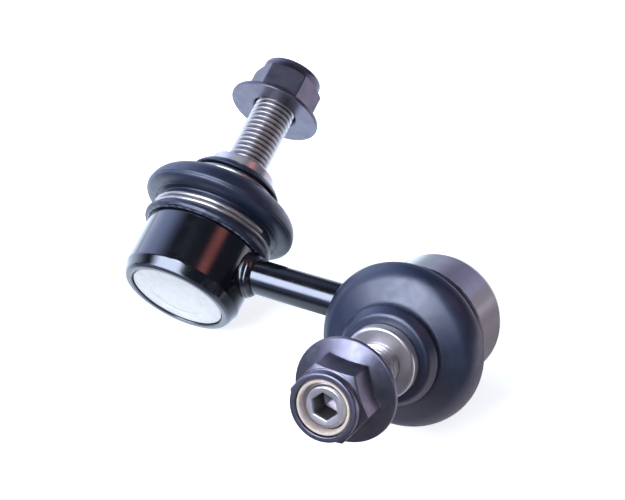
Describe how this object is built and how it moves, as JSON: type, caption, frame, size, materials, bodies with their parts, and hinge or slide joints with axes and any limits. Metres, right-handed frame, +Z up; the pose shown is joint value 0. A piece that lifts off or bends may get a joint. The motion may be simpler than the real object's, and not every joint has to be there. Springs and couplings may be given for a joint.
{
  "type": "stabilizer link",
  "caption": "Short rod with a rubber-booted ball joint at each end; threaded studs with flange lock nuts point to opposite sides.",
  "frame": {"origin": "centre of the footprint with the nuts where they are, level with the lowest edges of the two ball housings; the rod's centre line lies 1.03 mm to the -Y side of it, because nut A stands 2.2 mm further out than nut B", "axes": "+X along the rod from joint A to joint B, +Z up, midway between the two studs; stud A leans 20.75 degrees up from +Y and stud B 20.75 degrees up from -Y"},
  "size_m": [0.0936, 0.1026, 0.0418],
  "materials": {
    "black_paint": "gloss black enamel on steel",
    "painted_weld": "gloss black enamel over a weld bead",
    "cap_zinc": "bright zinc plate",
    "seat_plastic": "natural acetal",
    "stud_steel": "bright zinc plate on rolled thread",
    "boot_rubber": "satin black rubber",
    "spring_wire": "bright spring wire",
    "nut_phosphate": "dark oiled phosphate",
    "nylon": "cream nylon"
  },
  "bodies": {
    "link_body": {"link_rod": "black_paint", "weld_bead_a": "painted_weld", "weld_bead_b": "painted_weld", "ball_housing_a": "black_paint", "ball_housing_b": "black_paint", "end_cap_a": "cap_zinc", "end_cap_b": "cap_zinc", "bearing_seat_a": "seat_plastic", "bearing_seat_b": "seat_plastic", "boot_clip_a": "spring_wire", "boot_clip_b": "spring_wire"},
    "boot_body_a": {"dust_boot_a": "boot_rubber"},
    "ring_body_a": {"boot_ring_a": "spring_wire"},
    "stud_body_a": {"ball_stud_a": "stud_steel"},
    "insert_body_a": {"nylon_insert_a": "nylon"},
    "nut_body_a": {"flange_nut_a": "nut_phosphate"},
    "boot_body_b": {"dust_boot_b": "boot_rubber"},
    "ring_body_b": {"boot_ring_b": "spring_wire"},
    "stud_body_b": {"ball_stud_b": "stud_steel"},
    "insert_body_b": {"nylon_insert_b": "nylon"},
    "nut_body_b": {"flange_nut_b": "nut_phosphate"}
  },
  "joints": [
    {"name": "stud_a_swing", "type": "hinge", "parent": "link_body", "child": "boot_body_a", "pos_m": [-0.0285, -0.00103, 0.01594], "axis": [0, -0.3543, 0.9351], "range_deg": [-16, 16], "deforming": ["dust_boot_a"]},
    {"name": "stud_a_rock", "type": "hinge", "parent": "boot_body_a", "child": "ring_body_a", "pos_m": [-0.0285, -0.00103, 0.01594], "axis": [1, 0, 0], "range_deg": [-16, 16]},
    {"name": "stud_a_spin", "type": "hinge", "parent": "ring_body_a", "child": "stud_body_a", "pos_m": [-0.0285, -0.00103, 0.01594], "axis": [0, 0.9351, 0.3543], "continuous": true},
    {"name": "nut_a_travel", "type": "slide", "parent": "stud_body_a", "child": "insert_body_a", "axis": [0, 0.9351, 0.3543], "range_m": [-0.0169, 0.0076]},
    {"name": "nut_a_turn", "type": "hinge", "parent": "insert_body_a", "child": "nut_body_a", "pos_m": [-0.0285, -0.00103, 0.01594], "axis": [0, -0.9351, -0.3543], "range_deg": [-2160, 4860]},
    {"name": "stud_b_swing", "type": "hinge", "parent": "link_body", "child": "boot_body_b", "pos_m": [0.0285, -0.00103, 0.01594], "axis": [0, -0.3543, -0.9351], "range_deg": [-16, 16], "deforming": ["dust_boot_b"]},
    {"name": "stud_b_rock", "type": "hinge", "parent": "boot_body_b", "child": "ring_body_b", "pos_m": [0.0285, -0.00103, 0.01594], "axis": [1, 0, 0], "range_deg": [-16, 16]},
    {"name": "stud_b_spin", "type": "hinge", "parent": "ring_body_b", "child": "stud_body_b", "pos_m": [0.0285, -0.00103, 0.01594], "axis": [0, -0.9351, 0.3543], "continuous": true},
    {"name": "nut_b_travel", "type": "slide", "parent": "stud_body_b", "child": "insert_body_b", "axis": [0, -0.9351, 0.3543], "range_m": [-0.0147, 0.0098]},
    {"name": "nut_b_turn", "type": "hinge", "parent": "insert_body_b", "child": "nut_body_b", "pos_m": [0.0285, -0.00103, 0.01594], "axis": [0, 0.9351, -0.3543], "range_deg": [-2790, 4230]}
  ],
  "couplings": [
    {"joint": "nut_a_travel", "follows": "nut_a_turn", "m_per_rad": -0.00019894},
    {"joint": "nut_b_travel", "follows": "nut_b_turn", "m_per_rad": -0.00019894}
  ]
}
